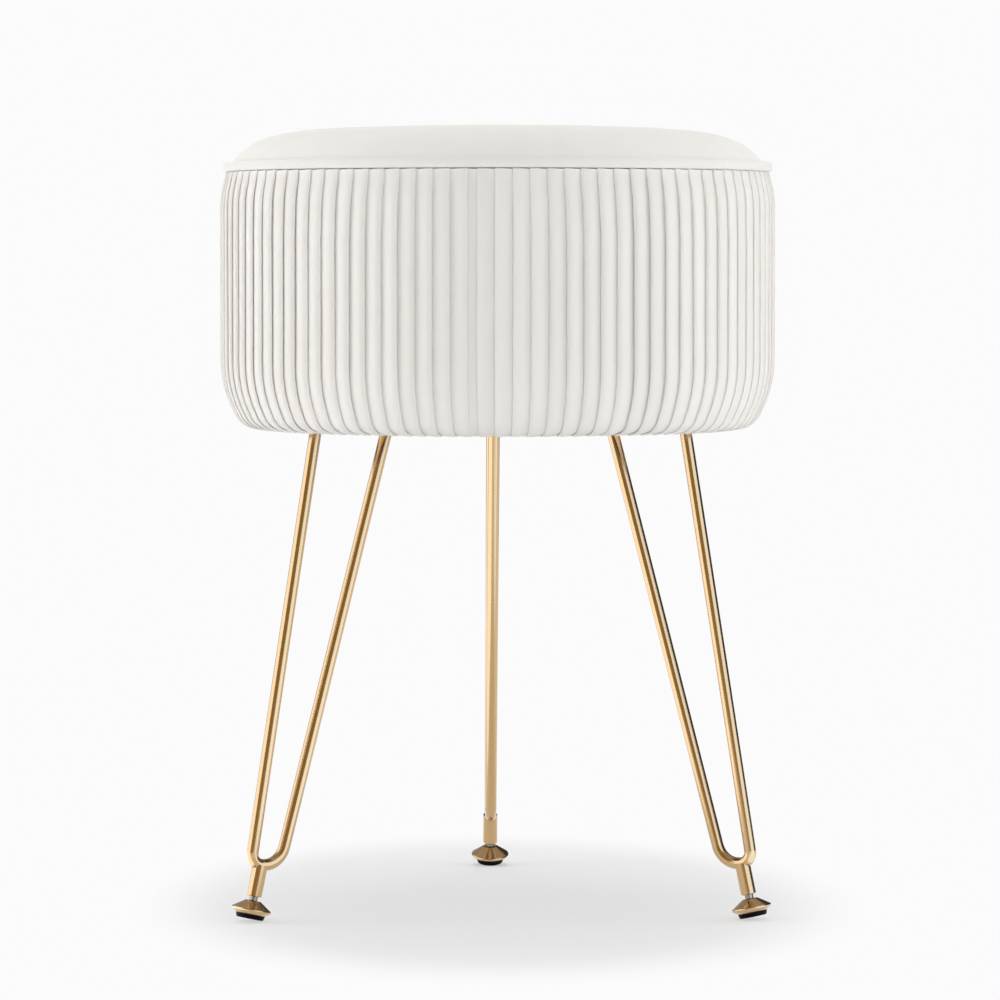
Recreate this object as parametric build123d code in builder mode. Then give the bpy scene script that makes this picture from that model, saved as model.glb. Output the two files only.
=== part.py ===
from build123d import *
import os
from math import acos, asin, atan2, cos, degrees, pi, radians, sin, sqrt, tan

os.makedirs("parts", exist_ok=True)

# Round vanity stool: a pleated storage drum, a lift-off cushion lid and three hairpin legs.
# Millimetres, +Z up. The origin is on the floor under the drum's middle, and -Y is the front.

# Cloth and working gaps
cover_cloth = 1.0            # velvet of the drum and the lid, with its backing
lining_cloth = 0.8           # lining and dust cloth
layer_gap = 0.15             # room between curved layers of the upholstery
cloth_edge_gap = 0.4         # room round the edge of a cloth disc
lid_seat_gap = 0.3           # lid's underside above the drum's rim

# Drum
drum_radius = 165.0          # over the raised pleat edges
drum_bottom = 283.0          # lowest part of the drum above the floor
drum_height = 152.0
padding_thickness = 15.7     # foam at the drum's side
wall_thickness = 5.0
base_thickness = 12.0
base_recess = 4.0            # underside of the base board above the drum's lowest part
underside_flat = 4.0         # cover that lies flat under the base, up to its hem
rim_hem = 15.0               # cover turned down inside the mouth

# Soft corners of the drum, as tangent arcs: a roll and a flank below, a flank and a roll above
roll_radius = 12.7
roll_angle = 60.0
flank_radius = 67.3
rim_flank_radius = 80.0
rim_flank_angle = 16.0
rim_roll_radius = 4.0

# Knife pleats, laid from a sunken seam at the front round both halves to a box pleat at the back
pleat_rise = 2.0
pleats_per_half = 49
seam_degrees = 3.0
box_pleat_degrees = 3.6
seam_azimuth = 263.3
levels_per_arc = 2

# Lid
lid_setback = 8.3            # lid's side behind the raised pleat edges
lid_height = 28.5            # underside to the top of the crown
crown_radius = 1850.0
shoulder_radius = 56.0
shoulder_angle = 47.0
welt_diameter = 6.0
welt_lift = 0.3
lid_board_thickness = 9.0
lid_edge_foam = 2.4          # foam over the board's upper edge
lid_hem = 5.8                # cover turned in under the board's edge
disc_thickness = 9.0
disc_clearance = 3.8
disc_chamfer = 2.0
lid_screw_count = 4
lid_screw_circle = 92.0
lid_screw_diameter = 4.0
lid_screw_head = 8.0
lid_screw_length = 16.0

# Hairpin legs, each in a radial plane
leg_azimuths = {"back": 90.0, "left": 210.0, "right": 330.0}
rod_diameter = 7.0
rod_spacing = 48.0           # between the two rods where they meet the plate
rod_inset = 9.5              # outer rod from the plate's outer end
outer_bend_radius = 6.6      # to the middle of the rod, from the outer rod to the sleeve's axis
inner_bend_radius = 13.4     # and from the sleeve's axis to the inner rod
weld_gap = 0.05

# Leg plates and their screws
plate_inset = 4.0            # plate's outer end from the cover's hem
plate_length = 72.0
plate_width = 36.0
plate_thickness = 3.0
plate_corner = 6.0
plate_hole_end = 8.5         # middle of a screw hole from the plate's end
plate_hole_side = 6.5        # and from its long side
leg_screw_diameter = 5.0
leg_screw_head = 9.2
leg_screw_recess = 1.3       # screw's tip below the top of its tee nut
countersink_angle = 90.0     # full angle of the screw heads
screw_clearance = 0.25
thread_gap = 0.05
tee_nut_barrel = 7.8
tee_nut_barrel_length = 9.0
tee_nut_flange = 18.0
tee_nut_flange_thickness = 1.5

# Feet, along the sleeve's axis from the middle of the sole
foot_spread = 169.0          # radius of the sole's middle from the drum's axis
foot_lean_angle = 13.1
sole_face = 15.2
sole_edge = 0.4
sole_top_diameter = 17.3
sole_height = 2.7
rim_diameter = 23.4
rim_rise = 2.5               # sole's top to the middle of the cap's rim
rim_band = 1.8               # height of the rounded rim
rim_bulge = 0.6
cone_height = 5.4
cone_top_diameter = 8.7
core_diameter = 13.0
ball_diameter = 7.6
ball_height = 7.0
socket_gap = 0.1
neck_diameter = 5.0
throat_room = 1.25           # round the neck at the cap's top, for the pad's tilt
lip_room = 0.8               # round the neck at the lip that keeps the ball in
neck_length = 2.5            # bare neck between the cap and the sleeve
stud_diameter = 6.0
stud_chamfer = 0.6
stud_stop_gap = 0.3
sleeve_diameter = 9.0
sleeve_chamfer = 0.4
sleeve_bore_depth = 10.5
saddle_height = 15.0         # sleeve's lower end to the rod's underside

# Levels and radii that follow
drum_top = drum_bottom + drum_height
base_bottom = drum_bottom + base_recess
base_top = base_bottom + base_thickness
cover_depth = pleat_rise + cover_cloth
wall_radius = drum_radius - cover_depth - padding_thickness - 2 * layer_gap
wall_inside = wall_radius - wall_thickness
mouth_radius = wall_inside - layer_gap - cover_cloth
lining_radius = wall_inside - layer_gap
lining_floor = base_top + tee_nut_flange_thickness
hem_bottom = drum_top - rim_hem
roll_in = roll_radius * sin(radians(roll_angle)) + flank_radius * (1 - sin(radians(roll_angle)))
rim_drop = rim_flank_radius * sin(radians(rim_flank_angle))
rim_drop += rim_roll_radius * (1 - sin(radians(rim_flank_angle)))
underside_hem_radius = drum_radius - cover_depth - roll_in - underside_flat

lid_radius = drum_radius - lid_setback
lid_base = drum_top + lid_seat_gap
lid_top = lid_base + lid_height
lid_board_bottom = lid_base + cover_cloth
lid_board_top = lid_board_bottom + lid_board_thickness
lid_lining_bottom = lid_board_bottom - lining_cloth
disc_bottom = lid_lining_bottom - disc_thickness
disc_radius = mouth_radius - disc_clearance
shoulder_middle = lid_radius - shoulder_radius * sin(radians(shoulder_angle))
crown_angle = degrees(asin(shoulder_middle / (crown_radius - shoulder_radius)))
shoulder_level = lid_top - crown_radius + (crown_radius - shoulder_radius) * cos(radians(crown_angle))
foam_shoulder = shoulder_radius - cover_cloth - layer_gap
foam_radius = shoulder_middle + sqrt(foam_shoulder**2 - (lid_board_top - shoulder_level) ** 2)
lid_board_radius = foam_radius - lid_edge_foam
lid_hem_radius = lid_board_radius - lid_hem

plate_top = base_bottom - lining_cloth
plate_bottom = plate_top - plate_thickness
plate_end = underside_hem_radius - plate_inset
plate_radius = plate_end - plate_length / 2
plate_hole_long = plate_length - 2 * plate_hole_end
plate_hole_wide = plate_width - 2 * plate_hole_side
leg_screw_length = lining_floor - leg_screw_recess - plate_bottom
outer_rod_top = plate_end - rod_inset
inner_rod_top = outer_rod_top - rod_spacing
rod_radius = rod_diameter / 2

socket_radius = ball_diameter / 2 + socket_gap
throat_radius = neck_diameter / 2 + throat_room
lip_radius = neck_diameter / 2 + lip_room
rim_height = sole_height + rim_rise
pad_height = rim_height + cone_height
sleeve_bottom = pad_height + neck_length
sleeve_top = sleeve_bottom + saddle_height + rod_radius
foot_rise = sole_face / 2 * sin(radians(foot_lean_angle))


def save(piece, name):
    """Label a finished piece and write it under its own name."""
    piece.part.label = name
    export_step(piece.part, f"parts/{name}.step")


def drum_side(radius, bottom, top):
    """Draw the drum's side in radius and height, from its underside to its rim, as five tangent pieces."""
    roll = JernArc((radius - roll_in, bottom), (1, 0), roll_radius, roll_angle)
    flank = JernArc(roll @ 1, roll % 1, flank_radius, 90 - roll_angle)
    straight = Line(flank @ 1, (radius, top - rim_drop))
    rim_flank = JernArc(straight @ 1, (0, 1), rim_flank_radius, rim_flank_angle)
    rim_roll = JernArc(rim_flank @ 1, rim_flank % 1, rim_roll_radius, 90 - rim_flank_angle)
    return roll, flank, straight, rim_flank, rim_roll


def pleat_outline(scale):
    """Corners of the pleated outline: every fold's raised edge faces the seam."""
    ridge = drum_radius * scale
    valley = (drum_radius - pleat_rise) * scale
    half = (360 - seam_degrees - box_pleat_degrees) / 2
    folds = [seam_degrees / 2 + half * fold / pleats_per_half for fold in range(pleats_per_half + 1)]
    corners = []
    for fold in folds:
        corners += [(valley, fold), (ridge, fold)]
    for fold in reversed(folds):
        corners += [(ridge, -fold), (valley, -fold)]
    turns = [(size, radians(seam_azimuth + angle)) for size, angle in corners]
    return [(size * cos(turn), size * sin(turn)) for size, turn in turns]


def dome(inset, base):
    """Draw half of the lid's crowned section, set in from the cloth's outside, down to a flat base."""
    crown = JernArc((0, lid_top - inset), (1, 0), crown_radius - inset, -crown_angle)
    turn = shoulder_angle - crown_angle
    shoulder = JernArc(crown @ 1, crown % 1, shoulder_radius - inset, -turn)
    side = (shoulder @ 1).X
    Polyline(shoulder @ 1, (side, base), (0, base), crown @ 0)


def countersunk_screw(head, diameter, length, bottom):
    """One countersunk screw that points up, with its head's face at the given height."""
    head_height = (head - diameter) / 2 / tan(radians(countersink_angle / 2))
    tip = bottom + length
    with BuildPart() as screw:
        with BuildSketch(Plane.XZ):
            with BuildLine():
                Polyline(
                    (0, bottom),
                    (head / 2, bottom),
                    (diameter / 2, bottom + head_height),
                    (diameter / 2, tip),
                    (0, tip),
                    close=True,
                )
            make_face()
        revolve(axis=Axis.Z)
    return screw.part


# Pleated cover of the drum: pleats wrap the soft corners, turn in under the base and over the rim
with BuildLine(mode=Mode.PRIVATE) as side_line:
    side_pieces = drum_side(drum_radius, drum_bottom, drum_top)
side_points = [side_pieces[0] @ 0]
for piece in side_pieces:
    steps = 1 if piece.geom_type == GeomType.LINE else levels_per_arc
    side_points += [piece @ (step / steps) for step in range(1, steps + 1)]

with BuildPart() as pleated_cover:
    for point in side_points:
        with BuildSketch(Plane.XY.offset(point.Y)):
            with BuildLine():
                Polyline(pleat_outline(point.X / drum_radius), close=True)
            make_face()
    loft(ruled=True, clean=False)
    with BuildSketch(Plane.XZ):
        with BuildLine():
            hollow = drum_side(drum_radius - cover_depth, drum_bottom + cover_cloth, drum_top - cover_cloth)
            Polyline(
                hollow[-1] @ 1,
                (mouth_radius + cover_cloth, drum_top - cover_cloth),
                (mouth_radius + cover_cloth, hem_bottom),
                (mouth_radius, hem_bottom),
                (mouth_radius, lid_top),
                (0, lid_top),
                (0, 0),
                (underside_hem_radius, 0),
                (underside_hem_radius, base_bottom),
                (underside_hem_radius + cover_cloth, base_bottom),
                (underside_hem_radius + cover_cloth, drum_bottom + cover_cloth),
                hollow[0] @ 0,
            )
        make_face()
    revolve(axis=Axis.Z, mode=Mode.SUBTRACT, clean=False)
save(pleated_cover, "pleated_cover")

# Foam round the wall, thick at the side and rolled under the wall's lower edge
padding_inset = cover_cloth + layer_gap
with BuildPart() as drum_padding:
    with BuildSketch(Plane.XZ):
        with BuildLine():
            face = drum_side(
                drum_radius - cover_depth - layer_gap, drum_bottom + padding_inset, drum_top - padding_inset
            )
            Polyline(
                face[-1] @ 1,
                (wall_radius + layer_gap, drum_top - padding_inset),
                (wall_radius + layer_gap, base_bottom - layer_gap),
                (underside_hem_radius + padding_inset, base_bottom - layer_gap),
                (underside_hem_radius + padding_inset, drum_bottom + padding_inset),
                face[0] @ 0,
            )
        make_face()
    revolve(axis=Axis.Z)
save(drum_padding, "drum_padding")

# Bent plywood wall
with BuildPart() as drum_wall:
    with BuildSketch(Plane.XY.offset(base_bottom)):
        Circle(wall_radius)
        Circle(wall_inside, mode=Mode.SUBTRACT)
    extrude(amount=drum_top - padding_inset - base_bottom)
save(drum_wall, "drum_wall")

# Plywood base inside the wall, bored for the tee nuts
with BuildPart() as drum_base_board:
    with BuildSketch(Plane.XY.offset(base_bottom)):
        Circle(wall_inside - layer_gap)
        with PolarLocations(plate_radius, len(leg_azimuths), start_angle=leg_azimuths["back"]):
            with GridLocations(plate_hole_long, plate_hole_wide, 2, 2):
                Circle(tee_nut_barrel / 2 + thread_gap, mode=Mode.SUBTRACT)
    extrude(amount=base_thickness)
save(drum_base_board, "drum_base_board")

# Lining of the storage space, a cup that lies on the tee nuts and hangs from the rim's hem
with BuildPart() as drum_lining:
    with BuildSketch(Plane.XY.offset(lining_floor)):
        Circle(lining_radius)
    extrude(amount=hem_bottom - layer_gap - lining_floor)
    with BuildSketch(Plane.XY.offset(lining_floor + lining_cloth)):
        Circle(lining_radius - lining_cloth)
    extrude(amount=rim_hem + drum_height, mode=Mode.SUBTRACT)
save(drum_lining, "drum_lining")

# Dust cloth under the base, inside the cover's hem
with BuildPart() as dust_cloth:
    with BuildSketch(Plane.XY.offset(base_bottom - lining_cloth)):
        Circle(underside_hem_radius - cloth_edge_gap)
        with PolarLocations(plate_radius, len(leg_azimuths), start_angle=leg_azimuths["back"]):
            with GridLocations(plate_hole_long, plate_hole_wide, 2, 2):
                Circle(leg_screw_diameter / 2 + screw_clearance, mode=Mode.SUBTRACT)
    extrude(amount=lining_cloth)
save(dust_cloth, "dust_cloth")

# Leg screws and tee nuts, four to each leg plate
leg_screw = countersunk_screw(leg_screw_head, leg_screw_diameter, leg_screw_length, plate_bottom)
with BuildPart() as leg_screws:
    with PolarLocations(plate_radius, len(leg_azimuths), start_angle=leg_azimuths["back"]):
        with GridLocations(plate_hole_long, plate_hole_wide, 2, 2):
            add(leg_screw)
save(leg_screws, "leg_screws")

on_top = (Align.CENTER, Align.CENTER, Align.MIN)
below = (Align.CENTER, Align.CENTER, Align.MAX)
with BuildPart() as tee_nuts:
    with PolarLocations(plate_radius, len(leg_azimuths), start_angle=leg_azimuths["back"]):
        with GridLocations(plate_hole_long, plate_hole_wide, 2, 2):
            with Locations((0, 0, base_top)):
                Cylinder(tee_nut_flange / 2, tee_nut_flange_thickness, align=on_top)
                Cylinder(tee_nut_barrel / 2, tee_nut_barrel_length, align=below)
                Hole(leg_screw_diameter / 2 + thread_gap)
save(tee_nuts, "tee_nuts")

# Skin of the cushion lid: crowned, round-shouldered and turned under the board
with BuildPart() as lid_cover:
    with BuildSketch(Plane.XZ):
        with BuildLine():
            dome(0, lid_base)
        make_face()
    revolve(axis=Axis.Z)
    with BuildSketch(Plane.XZ):
        with BuildLine():
            dome(cover_cloth, lid_board_bottom)
        make_face()
    revolve(axis=Axis.Z, mode=Mode.SUBTRACT)
    with BuildSketch(Plane.XY.offset(lid_base)):
        Circle(lid_hem_radius)
    extrude(amount=cover_cloth, mode=Mode.SUBTRACT)
save(lid_cover, "lid_cover")

# Foam of the lid, wrapped over the board's edge
foam_base = lid_board_bottom + layer_gap
with BuildPart() as lid_foam:
    with BuildSketch(Plane.XZ):
        with BuildLine():
            dome(cover_cloth + layer_gap, foam_base)
        make_face()
    revolve(axis=Axis.Z)
    with BuildSketch(Plane.XY.offset(foam_base)):
        Circle(lid_board_radius + layer_gap)
    extrude(amount=lid_board_top - foam_base, mode=Mode.SUBTRACT)
save(lid_foam, "lid_foam")

# Welt along the lid's lower edge
welt_radius = welt_diameter / 2
with BuildPart() as lid_welt:
    with BuildSketch(Plane.XZ):
        with Locations((lid_radius + layer_gap + welt_radius, lid_base + welt_lift + welt_radius)):
            Circle(welt_radius)
    revolve(axis=Axis.Z)
save(lid_welt, "lid_welt")

# Board, lining and locating disc of the lid, held by screws from below
lid_screw_tip = disc_bottom + lid_screw_length
with BuildPart() as lid_board:
    with BuildSketch(Plane.XY.offset(lid_board_bottom)):
        Circle(lid_board_radius)
    extrude(amount=lid_board_thickness)
    with BuildSketch(Plane.XY.offset(lid_board_bottom)):
        with PolarLocations(lid_screw_circle, lid_screw_count, start_angle=180 / lid_screw_count):
            Circle(lid_screw_diameter / 2 + thread_gap)
    extrude(amount=lid_screw_tip - lid_board_bottom + thread_gap, mode=Mode.SUBTRACT)
save(lid_board, "lid_board")

with BuildPart() as lid_lining:
    with BuildSketch(Plane.XY.offset(lid_lining_bottom)):
        Circle(lid_hem_radius - cloth_edge_gap)
        with PolarLocations(lid_screw_circle, lid_screw_count, start_angle=180 / lid_screw_count):
            Circle(lid_screw_diameter / 2 + screw_clearance, mode=Mode.SUBTRACT)
    extrude(amount=lining_cloth)
save(lid_lining, "lid_lining")

disc_underside = Plane(origin=(0, 0, disc_bottom), x_dir=(1, 0, 0), z_dir=(0, 0, -1))
with BuildPart(disc_underside) as lid_locating_disc:
    with BuildSketch(disc_underside):
        Circle(disc_radius)
    extrude(amount=-disc_thickness)
    chamfer(lid_locating_disc.edges().sort_by(Axis.Z)[0], length=disc_chamfer)
    with PolarLocations(lid_screw_circle, lid_screw_count, start_angle=180 / lid_screw_count):
        CounterSinkHole(
            lid_screw_diameter / 2 + screw_clearance,
            lid_screw_head / 2 + screw_clearance,
            depth=disc_thickness,
            counter_sink_angle=countersink_angle,
        )
save(lid_locating_disc, "lid_locating_disc")

lid_screw = countersunk_screw(lid_screw_head, lid_screw_diameter, lid_screw_length, disc_bottom)
with BuildPart() as lid_screws:
    with PolarLocations(lid_screw_circle, lid_screw_count, start_angle=180 / lid_screw_count):
        add(lid_screw)
save(lid_screws, "lid_screws")


def hairpin(leg_plane, low_point, up, radius):
    """Round bar from the plate's underside down one rod, round a tight and a wide bend and up the other."""
    ends = []
    for top_radius, bend_radius, way in [
        (outer_rod_top, outer_bend_radius, -1),
        (inner_rod_top, inner_bend_radius, 1),
    ]:
        top = Vector(top_radius, plate_bottom)
        middle = low_point + up * bend_radius
        reach = top - middle
        turn = atan2(reach.Y, reach.X) + way * acos(bend_radius / reach.length)
        touch = middle + Vector(cos(turn), sin(turn)) * bend_radius
        ends.append((top + (top - touch).normalized() * rod_diameter, touch))
    (outer_end, outer_touch), (inner_end, inner_touch) = ends
    place = leg_plane.from_local_coords
    with BuildPart() as bar:
        with BuildLine() as path:
            outer_rod = Line(place(outer_end), place(outer_touch))
            tight_bend = TangentArc(outer_rod @ 1, place(low_point), tangent=outer_rod % 1)
            TangentArc(tight_bend @ 1, place(inner_touch), tangent=tight_bend % 1)
            Line(place(inner_touch), place(inner_end))
        with BuildSketch(Plane(origin=path.line @ 0, z_dir=path.line % 0)):
            Circle(radius)
        sweep()
        split(bisect_by=Plane.XY.offset(plate_bottom), keep=Keep.BOTTOM)
    return bar


for side, azimuth in leg_azimuths.items():
    # The leg's plane has the radius across and the height up. The foot's has the sleeve's axis up.
    out = Vector(cos(radians(azimuth)), sin(radians(azimuth)), 0)
    leg_plane = Plane(origin=(0, 0, 0), x_dir=out, z_dir=out.cross(Vector(0, 0, 1)))
    lean = radians(foot_lean_angle)
    foot_plane = Plane(
        origin=leg_plane.from_local_coords((foot_spread, foot_rise)),
        x_dir=leg_plane.x_dir * cos(lean) + leg_plane.y_dir * sin(lean),
        z_dir=leg_plane.z_dir,
    )
    foot_axis = Axis(foot_plane.origin, foot_plane.y_dir)
    low_point = leg_plane.to_local_coords(foot_plane.from_local_coords((0, sleeve_top)))
    up = Vector(-sin(lean), cos(lean))

    # Bent bar of the leg
    hairpin_rod = hairpin(leg_plane, low_point, up, rod_radius)
    save(hairpin_rod, f"hairpin_rod_{side}")

    # Plate that the bar is welded to, countersunk from below
    plate_face = Plane(origin=out * plate_radius + Vector(0, 0, plate_bottom), x_dir=out, z_dir=(0, 0, -1))
    with BuildPart(plate_face) as leg_plate:
        with BuildSketch(plate_face):
            RectangleRounded(plate_length, plate_width, plate_corner)
        extrude(amount=-plate_thickness)
        with GridLocations(plate_hole_long, plate_hole_wide, 2, 2):
            CounterSinkHole(
                leg_screw_diameter / 2 + screw_clearance,
                leg_screw_head / 2 + screw_clearance,
                depth=plate_thickness,
                counter_sink_angle=countersink_angle,
            )
    save(leg_plate, f"leg_plate_{side}")

    # Sleeve with a blind bore for the stud, saddled onto the bend
    rod_seat = hairpin(leg_plane, low_point, up, rod_radius + weld_gap)
    bore_radius = stud_diameter / 2 + thread_gap
    with BuildPart() as foot_sleeve:
        with BuildSketch(foot_plane):
            with BuildLine():
                Polyline(
                    (bore_radius, sleeve_bottom),
                    (sleeve_diameter / 2 - sleeve_chamfer, sleeve_bottom),
                    (sleeve_diameter / 2, sleeve_bottom + sleeve_chamfer),
                    (sleeve_diameter / 2, sleeve_top),
                    (0, sleeve_top),
                    (0, sleeve_bottom + sleeve_bore_depth),
                    (bore_radius, sleeve_bottom + sleeve_bore_depth),
                    close=True,
                )
            make_face()
        revolve(axis=foot_axis)
        add(rod_seat.part, mode=Mode.SUBTRACT)
    save(foot_sleeve, f"foot_sleeve_{side}")

    # Levelling stud: a ball for the pad, a bare neck and a threaded shank
    ball_radius = ball_diameter / 2
    neck_angle = degrees(acos(neck_diameter / ball_diameter))
    stud_top = sleeve_bottom + sleeve_bore_depth - stud_stop_gap
    with BuildPart() as levelling_stud:
        with BuildSketch(foot_plane):
            with BuildLine():
                ball = CenterArc((0, ball_height), ball_radius, -90, 90 + neck_angle)
                Polyline(
                    ball @ 1,
                    (neck_diameter / 2, sleeve_bottom + stud_stop_gap),
                    (stud_diameter / 2, sleeve_bottom + stud_stop_gap),
                    (stud_diameter / 2, stud_top - stud_chamfer),
                    (stud_diameter / 2 - stud_chamfer, stud_top),
                    (0, stud_top),
                    ball @ 0,
                )
            make_face()
        revolve(axis=foot_axis)
    save(levelling_stud, f"levelling_stud_{side}")

    # Conical cap of the pad, with a lip that keeps the ball in
    core_hole = core_diameter / 2 + thread_gap
    lip_angle = degrees(acos(lip_radius / socket_radius))
    with BuildPart() as pad_cap:
        with BuildSketch(foot_plane):
            with BuildLine():
                socket = CenterArc((0, ball_height), socket_radius, 0, lip_angle)
                rim = ThreePointArc(
                    (rim_diameter / 2 - rim_bulge, rim_height + rim_band / 2),
                    (rim_diameter / 2, rim_height),
                    (rim_diameter / 2 - rim_bulge, rim_height - rim_band / 2),
                )
                cone_top = (cone_top_diameter / 2, pad_height)
                Polyline(socket @ 1, (throat_radius, pad_height), cone_top, rim @ 0)
                Polyline(
                    rim @ 1,
                    (sole_top_diameter / 2, sole_height),
                    (core_hole, sole_height),
                    (core_hole, ball_height),
                    socket @ 0,
                )
            make_face()
        revolve(axis=foot_axis)
    save(pad_cap, f"pad_cap_{side}")

    # Black sole, with a core that fills the cap and cups the ball
    with BuildPart() as pad_sole:
        with BuildSketch(foot_plane):
            with BuildLine():
                cup = CenterArc((0, ball_height), socket_radius, -90, 90)
                Polyline(
                    cup @ 1,
                    (core_diameter / 2, ball_height),
                    (core_diameter / 2, sole_height),
                    (sole_top_diameter / 2, sole_height),
                    (sole_face / 2 + sole_edge, sole_edge),
                    (sole_face / 2, 0),
                    (0, 0),
                    cup @ 0,
                )
            make_face()
        revolve(axis=foot_axis)
    save(pad_sole, f"pad_sole_{side}")
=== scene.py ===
# %% [markdown]
# # Vanity stool with a pleated drum
# The stool is a drum wrapped in ivory velvet that is laid in about a hundred knife pleats, with a cushion
# lid that lifts off and three hairpin legs of gold-coloured bar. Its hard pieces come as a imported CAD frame
# in metres. This lesson dresses that frame: it models the cloth and the padding, gives every piece a
# procedural finish, and sets up the studio and the camera.

# %% Load the frame
import math
import random

import bpy
import numpy as np
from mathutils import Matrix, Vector


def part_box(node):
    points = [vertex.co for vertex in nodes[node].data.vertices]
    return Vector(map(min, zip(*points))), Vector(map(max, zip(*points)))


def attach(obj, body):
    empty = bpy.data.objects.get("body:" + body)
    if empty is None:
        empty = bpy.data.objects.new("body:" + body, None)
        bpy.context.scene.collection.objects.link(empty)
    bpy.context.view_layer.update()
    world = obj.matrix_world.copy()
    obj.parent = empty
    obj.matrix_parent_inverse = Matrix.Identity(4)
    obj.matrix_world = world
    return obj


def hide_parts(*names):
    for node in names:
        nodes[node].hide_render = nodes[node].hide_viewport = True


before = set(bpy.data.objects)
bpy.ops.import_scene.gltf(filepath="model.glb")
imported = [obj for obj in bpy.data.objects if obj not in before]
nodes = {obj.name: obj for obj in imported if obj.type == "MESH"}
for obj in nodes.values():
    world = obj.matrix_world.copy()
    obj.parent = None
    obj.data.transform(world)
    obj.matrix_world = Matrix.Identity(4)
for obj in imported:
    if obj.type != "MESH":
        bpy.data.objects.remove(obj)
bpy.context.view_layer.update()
MM = 0.001

# %% [markdown]
# The velvet of the drum is one long strip, folded into knife pleats whose raised edges all face a seam at
# the front, and closed by a box pleat at the back. Flat geometry with a bump would lose the shadow under
# each fold, so the folds are modelled. First comes the plain shape of the drum, from the cloth's hem under
# the base to its hem in the mouth. Its section is written as an upholsterer walks it: a straight run, then
# a turn of some radius.

# %% Section of the plain wrap
def walk(radius, height, heading, moves):
    """Walk a section, and return its points and headings.

    A move is a run or an arc's radius in millimetres, a turn in degrees, and a number of steps.
    """
    points, headings = [(radius, height)], [heading]
    for size, turn, steps in moves:
        bend = math.radians(turn) / steps
        stride = 2 * size * math.sin(bend / 2) if turn else size / steps
        for _ in range(steps):
            radius += stride * math.cos(heading + bend / 2)
            height += stride * math.sin(heading + bend / 2)
            heading += bend
            points.append((radius, height))
            headings.append(heading)
    return points, headings


drum_low, drum_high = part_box("pleated_cover")
drum_radius = 165.0
drum_bottom, drum_top = drum_low.z / MM, drum_high.z / MM
hem_radius, hem_height = 138.0, 4.0  # hem under the base
mouth_radius, rim_hem = 139.85, 15.0  # hem in the mouth
turn_radius = 1.5  # of the cloth round the edge of the base and of the wall
roll_radius, roll_turn = 15.0, 60.0  # lower corner of the drum
flank_radius = 67.3  # slow curve from that corner to the straight side
rim_flank_radius, rim_flank_turn = 56.0, 22.0  # slow curve in to the rim
rim_roll_radius = 1.3

roll_angle, rim_angle = math.radians(roll_turn), math.radians(rim_flank_turn)
roll_in = roll_radius * math.sin(roll_angle) + flank_radius * (1 - math.sin(roll_angle))
flank_top = roll_radius * (1 - math.cos(roll_angle)) + flank_radius * math.cos(roll_angle)
rim_drop = rim_flank_radius * math.sin(rim_angle) + rim_roll_radius * (1 - math.sin(rim_angle))
rim_in = rim_flank_radius * (1 - math.cos(rim_angle)) + rim_roll_radius * math.cos(rim_angle)
side_height = drum_top - drum_bottom - rim_drop - flank_top

wrap_moves = [
    (hem_height - turn_radius, 0, 1),
    (turn_radius, 90, 2),
    (drum_radius - roll_in - hem_radius - turn_radius, 0, 1),
    (roll_radius, roll_turn, 5),
    (flank_radius, 90 - roll_turn, 4),
    (side_height, 0, 5),
    (rim_flank_radius, rim_flank_turn, 4),
    (rim_roll_radius, 90 - rim_flank_turn, 3),
    (drum_radius - rim_in - mouth_radius - turn_radius, 0, 1),
    (turn_radius, 90, 2),
    (rim_hem - turn_radius, 0, 1),
]
wrap_section, wrap_headings = walk(hem_radius, drum_bottom + hem_height, math.radians(-90), wrap_moves)
print("wrap:", len(wrap_section), "levels, ends at", [round(x, 2) for x in wrap_section[-1]], "mm")

# %% [markdown]
# A pleat's section is drawn in millimetres along the drum and out from it: a crease of half a turn, a nearly
# flat panel that rolls over towards its crease, and a tuck behind the next crease. One pleat could be copied
# round the drum, but the seam and the box pleat would not fit in, so the points of one side are listed in a
# row, from the seam to the back, and mirrored.

# %% Section of the pleats
seam_azimuth = 263.3
seam_width, box_width = 3.0, 3.6  # plain cloth at the seam and on the box pleat, in degrees of the drum
seam_half = math.radians(seam_width / 2) * drum_radius
box_half = math.radians(box_width / 2) * drum_radius
folds = 49  # to each side of the seam
pitch = (math.pi * drum_radius - seam_half - box_half) / folds
pleat_rise = 2.0
cloth = 0.5
edge_drop, edge_share = 0.8, 0.3  # how far a panel rolls over towards its crease, and from where
crease_radius, crease_steps = 1.5, 4
crease_level = pleat_rise - edge_drop - crease_radius
back_level = crease_level - crease_radius
panel_low = -2.1
panel_fall = 1.03  # how late a panel falls away
panel_shares = (0.1, 0.22, 0.36, 0.52, 0.68, 0.82, 0.94)
tuck, tuck_bulge = 2.8, 0.4  # how far the cloth goes back under a pleat, and the turn at its end
tuck_level = panel_low - 0.1
seam_level = -0.4


def panel_rise(share):
    """Height of a panel at a share of the way from its crease to the next."""
    rolled = edge_drop * max(0.0, 1 - share / edge_share) ** 2
    return pleat_rise - rolled + (panel_low - pleat_rise) * share**panel_fall


half_section = [(0, -seam_half, seam_level)]
for fold in range(folds + 1):
    half_section.append((fold, tuck, tuck_level))
    half_section.append((fold, tuck + tuck_bulge, (tuck_level + back_level) / 2))
    half_section.append((fold, tuck, back_level))
    for step in range(crease_steps + 1):
        angle = math.pi * step / crease_steps
        crease_rise = crease_level - crease_radius * math.cos(angle)
        half_section.append((fold, -crease_radius * math.sin(angle), crease_rise))
    if fold < folds:
        half_section += [(fold, share * pitch, panel_rise(share)) for share in panel_shares]
half_section += [(folds, box_half / 2, pleat_rise), (folds, box_half, pleat_rise)]

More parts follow.
